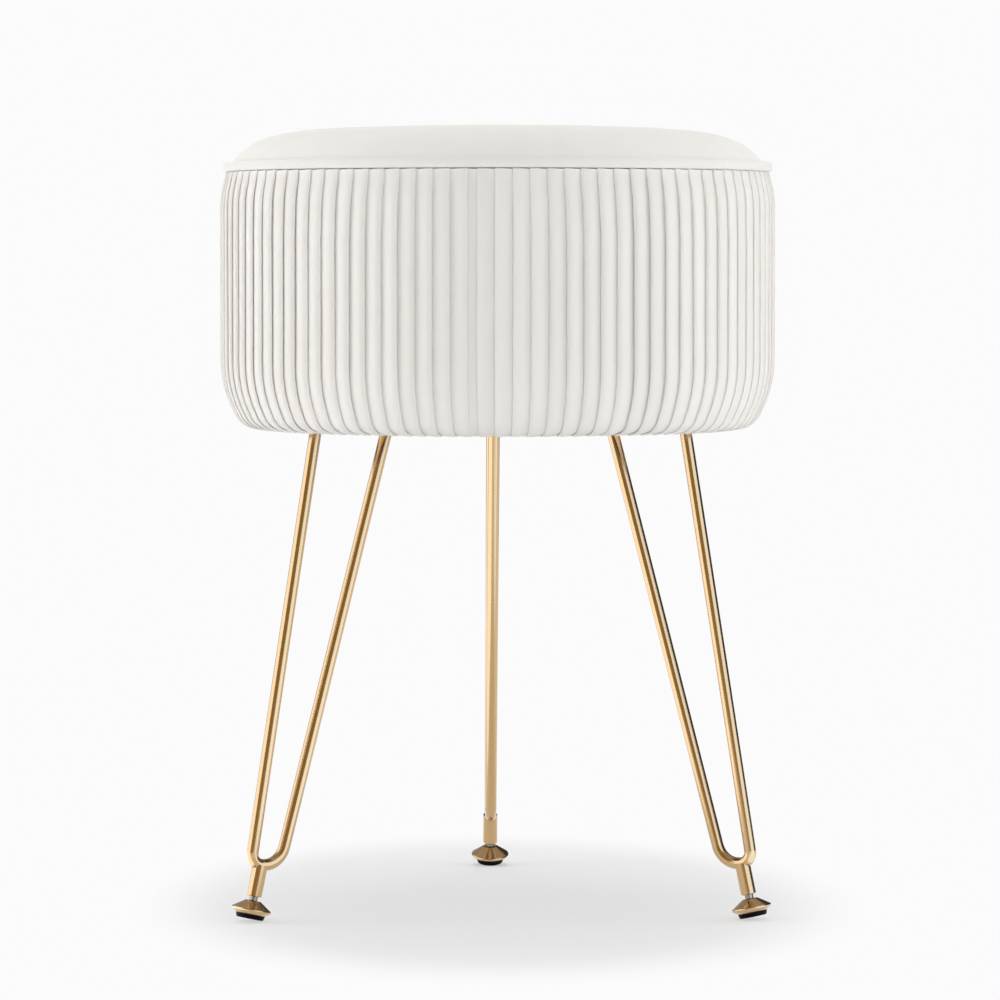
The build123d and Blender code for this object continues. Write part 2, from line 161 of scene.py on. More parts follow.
right_half = [(1, *point) for point in half_section]
left_half = [(-1, *point) for point in reversed(half_section[1:-1])]
ring_side, ring_fold, ring_along, ring_rise = np.array(right_half + left_half).T
ring_count = len(ring_side)
print("pleats:", 2 * folds, "panels,", ring_count, "points round the drum")

# %% [markdown]
# Upholstery on a round stool is round too, so most pieces start as a ring of edges that is extruded and
# scaled through the points of a section. Spin would do the same, but it needs its doubles merged each time.

# %% Plain wrap of the drum
def work_on(piece):
    """Leave edit mode, and make one piece the only selected and active one."""
    if bpy.context.object and bpy.context.object.mode != "OBJECT":
        bpy.ops.object.mode_set(mode="OBJECT")
    bpy.ops.object.select_all(action="DESELECT")
    piece.select_set(True)
    bpy.context.view_layer.objects.active = piece


def edit_all(piece):
    """Enter edit mode with all of a piece selected."""
    work_on(piece)
    bpy.ops.object.mode_set(mode="EDIT")
    bpy.ops.mesh.select_all(action="SELECT")


def add_ring(name, radius, height, vertices):
    """Add a ring round the stool's axis, in millimetres, with its place in its mesh."""
    bpy.ops.object.select_all(action="DESELECT")
    bpy.ops.mesh.primitive_circle_add(vertices=vertices, radius=radius * MM, location=(0, 0, height * MM))
    piece = bpy.context.object
    piece.name = piece.data.name = name
    bpy.ops.object.transform_apply(location=True, rotation=True, scale=True)
    return piece


def draw_through(section):
    """Extrude the ring that is selected in edit mode through the (radius, height) points of a section."""
    for (radius, height), (next_radius, next_height) in zip(section, section[1:]):
        rise = (0, 0, (next_height - height) * MM)
        bpy.ops.mesh.extrude_edges_move(TRANSFORM_OT_translate={"value": rise})
        grow = next_radius / radius
        bpy.ops.transform.resize(value=(grow, grow, 1), center_override=(0, 0, next_height * MM))


def draw_ring(name, section, vertices):
    """Add a ring at a section's first point and draw it through the others. It stays in edit mode."""
    piece = add_ring(name, *section[0], vertices)
    edit_all(piece)
    draw_through(section)
    return piece


cover = draw_ring("pleated_velvet_cover", wrap_section, ring_count)
bpy.ops.object.mode_set(mode="OBJECT")
print("plain wrap:", len(cover.data.vertices), "points")

# %% [markdown]
# To fold the wrap, each of its points has to know its place on the pleats' section and its level on the drum.
# Extruding numbers the points in an order of its own, so both are read from where the points stand.

# %% Place of every point on the strip
def read_points(piece):
    """The piece's vertices as an array, in millimetres."""
    points = np.empty(len(piece.data.vertices) * 3)
    piece.data.vertices.foreach_get("co", points)
    return points.reshape(-1, 3) / MM


def write_points(piece, points):
    """Put an array of vertices, in millimetres, back into the piece."""
    piece.data.vertices.foreach_set("co", (points * MM).ravel())
    piece.data.update()


plain = read_points(cover)
plain_turn = np.arctan2(plain[:, 1], plain[:, 0])
plain_radius = np.hypot(plain[:, 0], plain[:, 1])
ring_step = 2 * math.pi / ring_count
ring_place = np.rint((plain_turn - plain_turn[0]) / ring_step).astype(int) % ring_count
wrap_radius, wrap_height = np.array(wrap_section).T
wrap_heading = np.array(wrap_headings)
off_level = np.hypot(plain_radius[:, None] - wrap_radius, plain[:, 2, None] - wrap_height)
wrap_level = np.argmin(off_level, axis=1)
print("strip:", len(np.unique(ring_place)), "places on", len(np.unique(wrap_level)), "levels")

# %% [markdown]
# Real pleats are laid and pressed by hand. They stand full on the drum's side and are pressed flat where the
# cloth is stapled, they are deepest near the seam, and going over the rim they lean towards it. Sculpting
# could give this, but a table of a few values is easier to read and to change.

# %% Depth and lean of the pleats
corner_height = 45.0  # the lower corner's end above the drum's bottom
hem_press, rim_press = 0.5, 0.15  # share of its depth that a pleat keeps under the base and on the rim
pressed = np.interp(
    wrap_height,
    [drum_bottom, drum_bottom + corner_height, drum_top - 26, drum_top - 3, drum_top],
    [hem_press, 1, 1, 0.6, rim_press],
)
pressed = np.where(wrap_radius < mouth_radius + 2 * turn_radius, rim_press, pressed)

# Depth by a fold's number from the seam: the right side lies flatter, with less of a bulge at its creases
deepest = 1.15  # how much deeper than drawn the pleats are near the seam
least_bulge = 0.1
right_depth = np.interp(ring_fold, [8, 11, 16, 20, 30, 42], [deepest, 0.75, 0.42, 0.3, 0.3, 1])
left_depth = np.interp(ring_fold, [10, 14, 19, 30, 42], [deepest, 0.85, 0.35, 0.35, 1])
pleat_depth = np.where(ring_side > 0, right_depth, left_depth)
bulge = np.maximum(2 * pleat_depth - 1, least_bulge)
bulged_along = np.where(ring_along < 0, ring_along * bulge, ring_along)

# Lean by height, full on top of the rim and in the mouth, and none at the seam itself and at the back
rim_lean = 1.7  # how far a pleat leans towards the seam, going over the rim
lean_start, lean_end = 40.0, 6.0  # below the drum's top
rim_width = 15.0
leaning = np.interp(wrap_height, [drum_top - lean_start, drum_top - lean_end], [0, 1])
over_rim = (wrap_radius < drum_radius - rim_width) & (wrap_height > drum_bottom + corner_height)
leaning = np.where(over_rim, 1, leaning)
leaning = rim_lean * leaning * leaning * (3 - 2 * leaning)
lean_share = np.interp(ring_fold, [1, 6, 30, 45], [0, 1, 1, 0])
print("pleats: depth", round(pleat_depth.min(), 2), "to", round(pleat_depth.max(), 2), "of the drawn one")

# %% [markdown]
# No two pleats come out alike, so each gets a little wander along its length, a slightly different height
# and its own tone. A seeded generator keeps them the same on every run. Then all points move at once from
# the plain wrap to their pleats, which keeps the strip whole, where a copy for each pleat would leave gaps.

# %% Fold the wrap into pleats
fold_wander, wander_length = 0.14, 60.0
fold_unevenness = 0.05
fold_ids = 2 * (folds + 1)
chance = random.Random(11)
wander_phase = np.array([chance.uniform(0, 2 * math.pi) for _ in range(fold_ids)])
wander_size = np.array([chance.gauss(0, fold_wander) for _ in range(fold_ids)])
fold_height = np.array([1 - abs(chance.gauss(0, fold_unevenness)) for _ in range(fold_ids)])
fold_tone = np.array([chance.uniform(-1, 1) for _ in range(fold_ids)])

ring_fold_id = (ring_fold + (ring_side < 0) * (folds + 1)).astype(int)
point_fold = ring_fold_id[ring_place]
level_height = wrap_height[wrap_level]
level_heading = wrap_heading[wrap_level]
wander_way = wander_phase[point_fold] + (level_height - drum_bottom) / wander_length
sway = wander_size[point_fold] * np.sin(wander_way)
along = seam_half + ring_fold[ring_place] * pitch + bulged_along[ring_place] + sway
along -= leaning[wrap_level] * lean_share[ring_place]
azimuth = math.radians(seam_azimuth) + ring_side[ring_place] * along / drum_radius
out = (ring_rise[ring_place] * fold_height[point_fold] - pleat_rise) * pressed[wrap_level]
out *= pleat_depth[ring_place]
folded_radius = wrap_radius[wrap_level] + out * np.sin(level_heading)
folded_height = level_height - out * np.cos(level_heading)
folded = [folded_radius * np.cos(azimuth), folded_radius * np.sin(azimuth), folded_height]
write_points(cover, np.column_stack(folded))
cover.data.attributes.new("strip_tone", "FLOAT", "POINT").data.foreach_set("value", fold_tone[point_fold])
print("folded:", [round(float(2 * reach.max()), 1) for reach in folded[:2]], "mm across")

# %% [markdown]
# The strip has no thickness yet. Solidify gives it that of velvet, inwards from the outside that was drawn,
# so the faces first have to point outwards. A second strip inside the first would do, but its hems would
# have to be closed by hand.

# %% Thickness of the drum's velvet
def flip_faces(piece):
    """Turn every face of a piece over."""
    edit_all(piece)
    bpy.ops.mesh.flip_normals()
    bpy.ops.object.mode_set(mode="OBJECT")


def apply_modifier(piece, kind, **settings):
    """Add a modifier to a piece, set it and apply it."""
    work_on(piece)
    modifier = piece.modifiers.new(kind.capitalize(), kind)
    for name, value in settings.items():
        setattr(modifier, name, value)
    bpy.ops.object.modifier_apply(modifier=modifier.name)


largest = max(cover.data.polygons, key=lambda face: face.area)
if largest.normal.dot(Vector((largest.center.x, largest.center.y, 0))) < 0:
    flip_faces(cover)
apply_modifier(cover, "SOLIDIFY", thickness=cloth * MM, offset=-1)
bpy.ops.object.shade_smooth()
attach(cover, "stool_frame")
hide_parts("pleated_cover")

# %% [markdown]
# The lid is a foam cushion on a board, pulled into a low dome. A grid of quads behaves better in a cloth
# simulation than a fan of triangles round a pole, so a ring is filled with a grid and raised to a slightly
# slack dome.

# %% Dome of the lid
lid_low, lid_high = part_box("lid_cover")
lid_base, lid_top = lid_low.z / MM, lid_high.z / MM
lid_radius = lid_high.x / MM
crown_fall = 1.95  # at 100 mm from the middle
edge_fall, edge_power = 15.8, 10.7  # extra fall at the edge, and how late it comes
crown_sink = 1.4  # cloth's crown under the top of its solid
slack = 0.94
dome_sides = 96


def dome_height(radius, inset=0.0):
    """Height of the lid's dome at a radius, set in from the cloth's outside."""
    fall = crown_fall * (radius / 100) ** 2 + edge_fall * (radius / lid_radius) ** edge_power
    return lid_top - crown_sink - inset - fall


lid_edge = float(dome_height(np.array(lid_radius)))
cushion = add_ring("lid_cushion", lid_radius, lid_edge, dome_sides)
edit_all(cushion)
bpy.ops.mesh.fill_grid(span=dome_sides // 4)
bpy.ops.mesh.select_all(action="SELECT")
bpy.ops.mesh.subdivide(number_cuts=1)
bpy.ops.object.mode_set(mode="OBJECT")

dome = read_points(cushion)
dome_radius = np.hypot(dome[:, 0], dome[:, 1])
on_edge = dome_radius > lid_radius * math.cos(math.pi / dome_sides) - 0.01
dome[on_edge, :2] *= (lid_radius / dome_radius[on_edge])[:, None]
dome_radius[on_edge] = lid_radius
dome[:, 2] = lid_edge + (dome_height(dome_radius) - lid_edge) * slack
write_points(cushion, dome)
if cushion.data.polygons[0].normal.z < 0:
    flip_faces(cushion)
print("dome:", len(dome), "points, edge at", round(lid_edge - lid_base, 2), "mm above the lid's base")

# %% [markdown]
# Foam pushes against the velvet from below while the cloth is held at its edge. A cloth simulation with a
# little pressure shows how uneven that leaves it, but blown up alone the dome is too full. So part of the
# unevenness is kept, and laid on the calculated dome.

# %% Blow up the dome
held = cushion.vertex_groups.new(name="held_edge")
held.add([int(i) for i in np.flatnonzero(on_edge)], 1.0, "REPLACE")
swell_steps, swell_limit = 20, 4.0
section_degree = 8  # of the curve through the blown-up section
uneven_limit, uneven_share = 0.5, 0.25
work_on(cushion)
cloth_modifier = cushion.modifiers.new("Foam pressure", "CLOTH")
settings = cloth_modifier.settings
settings.quality = 6
settings.mass = 0.2
settings.tension_stiffness = settings.compression_stiffness = 25
settings.bending_stiffness = 2
settings.vertex_group_mass = "held_edge"
settings.use_pressure = True
settings.uniform_pressure_force = 4
settings.effector_weights.gravity = 0
for step in range(1, swell_steps + 1):
    bpy.context.scene.frame_set(step)
bpy.ops.object.modifier_apply(modifier="Foam pressure")
bpy.context.scene.frame_set(1)
swell = read_points(cushion) - dome
swell_size = np.linalg.norm(swell, axis=1)
swell *= (np.minimum(swell_size, swell_limit) / np.maximum(swell_size, 1e-6))[:, None]
swollen = dome + swell
swollen_radius = np.clip(np.hypot(swollen[:, 0], swollen[:, 1]), 0, lid_radius)
mean_section = np.polyval(np.polyfit(swollen_radius, swollen[:, 2], section_degree), swollen_radius)
unevenness = np.clip(swollen[:, 2] - mean_section, -uneven_limit, uneven_limit) * ~on_edge
swollen[:, 2] = dome_height(swollen_radius) + uneven_share * unevenness
write_points(cushion, swollen)
print("cushion swelled by up to", round(float(swell_size.max()), 2), "mm")

# %% [markdown]
# From the edge of the dome the cover goes straight down behind the welt, turns round the board, and ends in a
# hem that is stapled under it. Drawing the dome's own edge on keeps the cover one piece of cloth.

# %% Edge and hem of the lid's cover
def select_points(piece, chosen):
    """Enter edit mode with only the chosen vertices selected."""
    work_on(piece)
    bpy.ops.object.mode_set(mode="EDIT")
    bpy.ops.mesh.select_all(action="DESELECT")
    bpy.ops.object.mode_set(mode="OBJECT")
    piece.data.vertices.foreach_set("select", chosen)
    bpy.ops.object.mode_set(mode="EDIT")
    bpy.ops.mesh.select_mode(type="VERT")


def close_up():
    """Merge the doubles of the piece in edit mode, turn its faces outwards, and leave edit mode."""
    bpy.ops.mesh.select_all(action="SELECT")
    bpy.ops.mesh.remove_doubles(threshold=0.01 * MM)
    bpy.ops.mesh.normals_make_consistent(inside=False)
    bpy.ops.object.mode_set(mode="OBJECT")


lid_hem_width = 13.0
dome_cloth = 0.8
edge_moves = [
    (lid_edge - lid_base - turn_radius, 0, 2),
    (turn_radius, -90, 3),
    (lid_hem_width - turn_radius, 0, 2),
]
edge_section, _ = walk(lid_radius, lid_edge, math.radians(-90), edge_moves)
select_points(cushion, on_edge)
draw_through(edge_section)
close_up()
apply_modifier(cushion, "SUBSURF", levels=1, render_levels=1)
apply_modifier(cushion, "SOLIDIFY", thickness=dome_cloth * MM, offset=-1)
bpy.ops.object.shade_smooth()
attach(cushion, "lid")
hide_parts("lid_cover")
print("cushion:", len(cushion.data.polygons), "faces")

# %% [markdown]
# The welt is a cord sewn into a strip of the same velvet. Its cloth is pulled flat by the seam on its inner
# side, so its section is squarer than a circle. A torus gives the ring, and each point of its section is
# moved out to a superellipse.

# %% Welt round the lid
welt_low, welt_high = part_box("lid_welt")
welt_half = (welt_high.z - welt_low.z) / 2
welt_ring = welt_high.x - welt_half
welt_sink = 0.5 * MM  # its seam lets it sink onto the rim
welt_middle = (welt_high.z + welt_low.z) / 2 - welt_sink
squareness = 3.8
bpy.ops.object.select_all(action="DESELECT")
bpy.ops.mesh.primitive_torus_add(
    major_segments=192, minor_segments=20, major_radius=welt_ring, minor_radius=welt_half,
    location=(0, 0, welt_middle),
)
welt = bpy.context.object
welt.name = welt.data.name = "lid_welt_cord"
bpy.ops.object.transform_apply(location=True, rotation=True, scale=True)
welt_points = read_points(welt)
welt_radius = np.hypot(welt_points[:, 0], welt_points[:, 1])
across, upward = welt_radius - welt_ring / MM, welt_points[:, 2] - welt_middle / MM
from_core = np.hypot(across, upward)
powers = np.abs(across / from_core) ** squareness + np.abs(upward / from_core) ** squareness
square = powers ** (1 / squareness)
welt_points[:, :2] *= ((welt_ring / MM + across / square) / welt_radius)[:, None]
welt_points[:, 2] = welt_middle / MM + upward / square
write_points(welt, welt_points)
bpy.ops.object.shade_smooth()
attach(welt, "lid")
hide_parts("lid_welt")
print("welt:", len(welt.data.polygons), "faces")

# %% [markdown]
# Under the velvet lie two pieces of foam: a ring that gives the drum its soft corners and a dome in the lid.
# They stay out of sight, and plain blocks would do for the picture, but they are pieces of the stool, so they
# get their own rounded sections. The ring follows the wrap, set in by the deepest pleat.

# %% Foam ring of the drum
padding_low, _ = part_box("drum_padding")
wall_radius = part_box("drum_wall")[1].x / MM
base_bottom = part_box("drum_base_board")[0].z / MM
foam_sides = 128
foam_gap = 0.4
top_edge, top_bevel, under_width = 3, 1, 20
padding_depth = (pleat_rise - tuck_level) * deepest + cloth + foam_gap
padding_top, padding_inner = drum_top - padding_depth / 2, wall_radius + foam_gap
padding_moves = [
    (roll_radius - padding_depth / 2, roll_turn, 5),
    (flank_radius - padding_depth, 90 - roll_turn, 4),
    (side_height - padding_depth / 2, 0, 1),
    (rim_flank_radius - padding_depth, rim_flank_turn, 2),
]
padding_start = (drum_radius - roll_in - padding_depth / 4, drum_bottom + padding_depth / 2)
padding_side, _ = walk(*padding_start, 0.0, padding_moves)
padding_section = padding_side + [
    (wall_radius + top_edge, padding_top),
    (padding_inner, padding_top - top_bevel),
    (padding_inner, base_bottom - foam_gap),
    (padding_low.x / -MM - under_width, base_bottom - foam_gap),
    padding_start,
]
padding = draw_ring("drum_foam", padding_section, foam_sides)
close_up()
bpy.ops.object.shade_smooth_by_angle(angle=math.radians(40))
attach(padding, "stool_frame")
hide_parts("drum_padding")
print("drum foam:", len(padding.data.polygons), "faces")

# %% [markdown]
# The lid's foam fills the cover from its board up to the dome, and laps over the board's edge. Cutting the
# board out by a Boolean would leave rough faces, so the outside is drawn from the lap up to the crown, and
# the inside from the lap up along the board's edge.

# %% Foam dome of the lid
foam_inset = dome_cloth + 1.6
board_low, board_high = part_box("lid_board")
board_radius, board_bottom, board_top = board_high.x / MM, board_low.z / MM, board_high.z / MM
foam_inner, foam_outer = board_radius + foam_gap, lid_radius - 2 * foam_inset
foam_bottom = board_bottom + foam_gap
crown_ring, crown_steps = 6, 12
foam_radii = np.linspace(foam_outer, crown_ring, crown_steps)
foam_section = [
    (foam_inner, foam_bottom),
    (foam_outer, foam_bottom),
    *[(float(r), float(dome_height(r, foam_inset))) for r in foam_radii],
]
foam = draw_ring("lid_foam_dome", foam_section, foam_sides)
bpy.ops.mesh.edge_face_add()
bpy.ops.object.mode_set(mode="OBJECT")
foam_points = read_points(foam)
by_board = np.hypot(foam_points[:, 0], foam_points[:, 1]) < board_radius + 1
select_points(foam, by_board & (foam_points[:, 2] < foam_bottom + 0.01))
draw_through([(foam_inner, foam_bottom), (foam_inner, board_top + foam_gap)])
bpy.ops.mesh.edge_face_add()
close_up()
bpy.ops.object.shade_smooth_by_angle(angle=math.radians(40))
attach(foam, "lid")
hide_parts("lid_foam")
print("lid foam:", len(foam.data.polygons), "faces")

# %% [markdown]
# Three round cloths lie flat in the stool: the lining on the storage floor, the cloth that closes the lid's
# underside, and the dust cloth under the base. A flat disc would look like card, so each is drawn as rings
# with a slight ripple, and gets a real thickness.

# %% Round cloths
def add_cloth_disc(name, node, radius, bottom, thickness, ripple):
    """A round cloth of concentric rings with a slight ripple, in millimetres."""
    piece = draw_ring(name, [(float(r), bottom) for r in np.linspace(radius, 8, 14)], 128)
    bpy.ops.mesh.edge_face_add()
    close_up()
    points = read_points(piece)
    turn = np.arctan2(points[:, 1], points[:, 0])
    share = np.hypot(points[:, 0], points[:, 1]) / radius
    wave = np.sin(5 * turn + 9 * share) * np.sin(math.pi * share) ** 2
    points[:, 2] = bottom + ripple * (wave + 1) / 2
    write_points(piece, points)
    face_up = sum(face.normal.z for face in piece.data.polygons) > 0
    apply_modifier(piece, "SOLIDIFY", thickness=thickness * MM, offset=1 if face_up else -1)
    bpy.ops.object.shade_smooth_by_angle(angle=math.radians(40))
    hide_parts(node)
    return piece


lining_low, lining_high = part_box("drum_lining")
lining_radius, lining_cloth = lining_high.x / MM, 0.6
lining_floor, lining_rim = lining_low.z / MM, lining_high.z / MM
floor_radius = lining_radius - 1.6  # inside the strip round the wall
floor_lining = add_cloth_disc("floor_lining", "drum_lining", floor_radius, lining_floor, lining_cloth, 0.2)
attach(floor_lining, "stool_frame")
print("floor lining:", len(floor_lining.data.polygons), "faces")

# %% [markdown]
# The lining round the wall is a strip that hangs in shallow waves, because it is only held at its upper edge.
# A cloth simulation could hang it, but waves of a millimetre are as easily drawn, as two sines that die out
# at both edges.

# %% Lining round the wall
wall_gap, wave_depth = 0.1, 1.1
wall_section = [(lining_radius - wall_gap, float(z)) for z in np.linspace(lining_floor, lining_rim, 14)]
wall_lining = draw_ring("wall_lining", wall_section, 256)
bpy.ops.object.mode_set(mode="OBJECT")
wall_points = read_points(wall_lining)
wall_turn = np.arctan2(wall_points[:, 1], wall_points[:, 0])
hang = (lining_rim - wall_points[:, 2]) / (lining_rim - lining_floor)
wall_wave = 0.5 + 0.3 * np.sin(17 * wall_turn + 3 * hang) + 0.2 * np.sin(29 * wall_turn - 2 * hang)
wall_points[:, :2] *= (1 - wave_depth * wall_wave * np.sin(math.pi * hang) / lining_radius)[:, None]
write_points(wall_lining, wall_points)
outward = wall_lining.data.polygons[0].normal.dot(wall_lining.data.polygons[0].center) > 0
apply_modifier(wall_lining, "SOLIDIFY", thickness=lining_cloth * MM, offset=-1 if outward else 1)
bpy.ops.object.shade_smooth_by_angle(angle=math.radians(40))
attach(wall_lining, "stool_frame")
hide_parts("drum_lining")
print("wall lining:", len(wall_lining.data.polygons), "faces")

# %% [markdown]
# The cloths under the lid and under the base hide boards and staples. Scaled copies of the floor's lining
# would be too thick or too thin, so the same function cuts them afresh.

# %% Cloths under the lid and the base
underlid_low, underlid_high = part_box("lid_lining")
underlid_radius, underlid_bottom = underlid_high.x / MM, underlid_low.z / MM
lid_lining = add_cloth_disc("lid_underside_cloth", "lid_lining", underlid_radius, underlid_bottom, 0.6, 0.15)
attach(lid_lining, "lid")

dust_low, dust_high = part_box("dust_cloth")
dust = add_cloth_disc("base_dust_cloth", "dust_cloth", dust_high.x / MM, dust_low.z / MM, 0.5, 0.25)
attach(dust, "stool_frame")
print("cloths:", [piece.name for piece in (floor_lining, wall_lining, lid_lining, dust)])

# %% [markdown]
# Every finish is a small node tree. Colours are written as sRGB hex values, as a paint chart gives them, and
# turned to the linear values that shaders work in. One helper adds a node with its settings and its links,
# and another leads a pattern to a shader, which nearly every finish here does in the same way.

# %% Helpers for finishes
def linear(hex_colour):
    """An sRGB hex colour as linear red, green, blue and alpha."""
    shares = [int(hex_colour[i : i + 2], 16) / 255 for i in (1, 3, 5)]
    return [c / 12.92 if c <= 0.04045 else ((c + 0.055) / 1.055) ** 2.4 for c in shares] + [1.0]


def add_node(tree, kind, sockets=None, **settings):
    """Add a node, set its properties, and fill its input sockets with values or with other sockets."""
    made = tree.nodes.new(kind)
    for name, value in settings.items():
        setattr(made, name, value)
    for name, value in (sockets or {}).items():
        if isinstance(value, bpy.types.NodeSocket):
            tree.links.new(value, made.inputs[name])
        else:
            made.inputs[name].default_value = value
    return made


def start_finish(name, **sockets):
    """A new material, its tree, its shader with fixed values set on it, and the Object coordinates."""
    finish = bpy.data.materials.new(name)
    finish.use_nodes = True
    shader = finish.node_tree.nodes["Principled BSDF"]
    for socket, value in sockets.items():
        shader.inputs[socket.replace("_", " ")].default_value = value
    place = add_node(finish.node_tree, "ShaderNodeTexCoord").outputs["Object"]
    return finish, finish.node_tree, shader, place


def dress(finish, *names):
    """Give a finish to CAD nodes, by name, or to modelled pieces."""
    for name in names:
        piece = nodes[name] if isinstance(name, str) else name
        piece.data.materials.clear()
        piece.data.materials.append(finish)


def lay_pattern(tree, shader, pattern, tones=None, stops=(0.0, 1.0), gloss=None, relief=None):
    """Lead a pattern to a shader: as a ramp of two tones, a range of roughness, or a bump of some depth."""
    if tones:
        ramp = add_node(tree, "ShaderNodeValToRGB", {"Fac": pattern})
        for element, stop, tone in zip(ramp.color_ramp.elements, stops, tones):
            element.position, element.color = stop, linear(tone)
        tree.links.new(ramp.outputs["Color"], shader.inputs["Base Color"])
    if gloss:
        low, high = gloss
        spread = add_node(tree, "ShaderNodeMapRange", {"Value": pattern, "To Min": low, "To Max": high})
        tree.links.new(spread.outputs["Result"], shader.inputs["Roughness"])
    if relief:
        strength, depth = relief
        bump = add_node(tree, "ShaderNodeBump", {"Height": pattern, "Strength": strength, "Distance": depth})
        tree.links.new(bump.outputs["Normal"], shader.inputs["Normal"])


# %% [markdown]
# Ivory velvet is a woven ground with a short cut pile. The pile scatters light at its tips, which is what the
# sheen lobe does, and it lies a little differently from strip to strip, which shifts the tone of each pleat.
# Hair particles could be the pile, but it is finer than a pixel, so it is drawn as a bump at about 0.7 mm,
# coarser than it is, and stretched down the nap.

# %% Ivory velvet
def make_velvet(name, strips):
    """Cut-pile velvet in ivory. On the pleats, each strip has its own slight tone."""
    mottle_size, pile_size, pile_depth = 18 * MM, 0.7 * MM, 0.2 * MM
    nap_stretch, strip_shift = 0.2, 0.3
    finish, tree, shader, place = start_finish(
        name, Roughness=0.92, Specular_IOR_Level=0.2, Sheen_Weight=0.25, Sheen_Roughness=0.4,
        Sheen_Tint=linear("#FFFCF4"),
    )
    downward = add_node(tree, "ShaderNodeMapping", {"Vector": place, "Scale": (1, 1, nap_stretch)})
    nap = downward.outputs["Vector"]
    mottle = add_node(tree, "ShaderNodeTexNoise", {"Vector": nap, "Scale": 1 / mottle_size, "Detail": 3.0})
    tone = mottle.outputs["Fac"]
    if strips:
        strip = add_node(tree, "ShaderNodeAttribute", attribute_name="strip_tone").outputs["Fac"]
        shift = add_node(tree, "ShaderNodeMath", {0: strip, 1: strip_shift}, operation="MULTIPLY")
        tone = add_node(tree, "ShaderNodeMath", {0: tone, 1: shift.outputs[0]}, operation="ADD").outputs[0]
    lay_pattern(tree, shader, tone, tones=("#ECE9E4", "#F2F0EC"))
    pile = add_node(tree, "ShaderNodeTexNoise", {"Vector": nap, "Scale": 1 / pile_size, "Detail": 2.0})
    lay_pattern(tree, shader, pile.outputs["Fac"], relief=(0.12, pile_depth))
    return finish


dress(make_velvet("ivory_velvet_pleats", True), cover)
dress(make_velvet("ivory_velvet_lid", False), cushion, welt)
print("velvet on", cover.name, cushion.name, welt.name)

# %% [markdown]
# The legs are steel bar with a satin gold plating under a clear lacquer. A metal's colour is the colour of
# its reflection, so the finish is fully metallic, and the lacquer is a coat that whitens the reflection at
# the bar's edges. Polishing leaves fine lines along the bar, which soften the reflection a little. They are
# finer than a pixel, so they are drawn half a millimetre wide. A flat roughness would do from afar.

# %% Satin gold plating
sides = ("left", "right", "back")
gold_pieces = ("hairpin_rod", "leg_plate", "foot_sleeve", "pad_cap")
gold_nodes = [f"{piece}_{side}" for piece in gold_pieces for side in sides]
line_width, line_stretch, line_depth = 0.5 * MM, 0.04, 0.05 * MM
gold, tree, shader, place = start_finish(
    "satin_gold_plating", Metallic=1.0, Base_Color=linear("#CDA86D"),
    Coat_Weight=1.0, Coat_IOR=1.8, Coat_Roughness=0.15,
)
drawn = add_node(tree, "ShaderNodeMapping", {"Vector": place, "Scale": (1, 1, line_stretch)})
lines = add_node(
    tree, "ShaderNodeTexNoise", {"Vector": drawn.outputs["Vector"], "Scale": 1 / line_width, "Detail": 2.0}
)
lay_pattern(tree, shader, lines.outputs["Fac"], gloss=(0.19, 0.22), relief=(0.005, line_depth))
dress(gold, *gold_nodes)
print("gold on", len(gold_nodes), "nodes")

# %% [markdown]
# Bright zinc plating covers the screws, the tee nuts and the studs. It is a pale grey metal, slightly mottled
# by its crystals. One grey would look like paint, so a noise of about the crystals' size varies both the
# colour and the gloss.

# %% Zinc-plated steel
zinc_nodes = ["leg_screws", "lid_screws", "tee_nuts"] + [f"levelling_stud_{side}" for side in sides]
crystal_size = 1.5 * MM
zinc, tree, shader, place = start_finish("zinc_plated_steel", Metallic=1.0)
spangle = add_node(tree, "ShaderNodeTexNoise", {"Vector": place, "Scale": 1 / crystal_size, "Detail": 3.0})
lay_pattern(tree, shader, spangle.outputs["Fac"], tones=("#8E8A82", "#B0ACA4"), gloss=(0.22, 0.36))
dress(zinc, *zinc_nodes)
print("zinc on", len(zinc_nodes), "nodes")

# %% [markdown]
# The soles are moulded rubber, almost black, with the faint grain of the mould and only a weak gloss. The
# grain could be modelled, but it is far under a millimetre, so a noise in the colour, the gloss and a bump
# gives it.

# %% Moulded rubber
grain_size, grain_depth = 0.4 * MM, 0.1 * MM
rubber, tree, shader, place = start_finish("moulded_black_rubber", Specular_IOR_Level=0.06)
grain = add_node(tree, "ShaderNodeTexNoise", {"Vector": place, "Scale": 1 / grain_size, "Detail": 2.0})
lay_pattern(
    tree, shader, grain.outputs["Fac"],
    tones=("#040404", "#0B0A0A"), gloss=(0.38, 0.5), relief=(0.2, grain_depth),
)
dress(rubber, *[f"pad_sole_{side}" for side in sides])
print("rubber on", len(sides), "soles")

# %% [markdown]
# The boards are birch plywood: its face shows the veneer's long grain, and a cut edge shows pale and dark
# plies about 1.5 mm thick, one above another in the flat boards and one round another in the bent wall. A
# picture would need a map for each board, so the grain is a stretched noise, and the plies are counted from
# each point's height or radius.

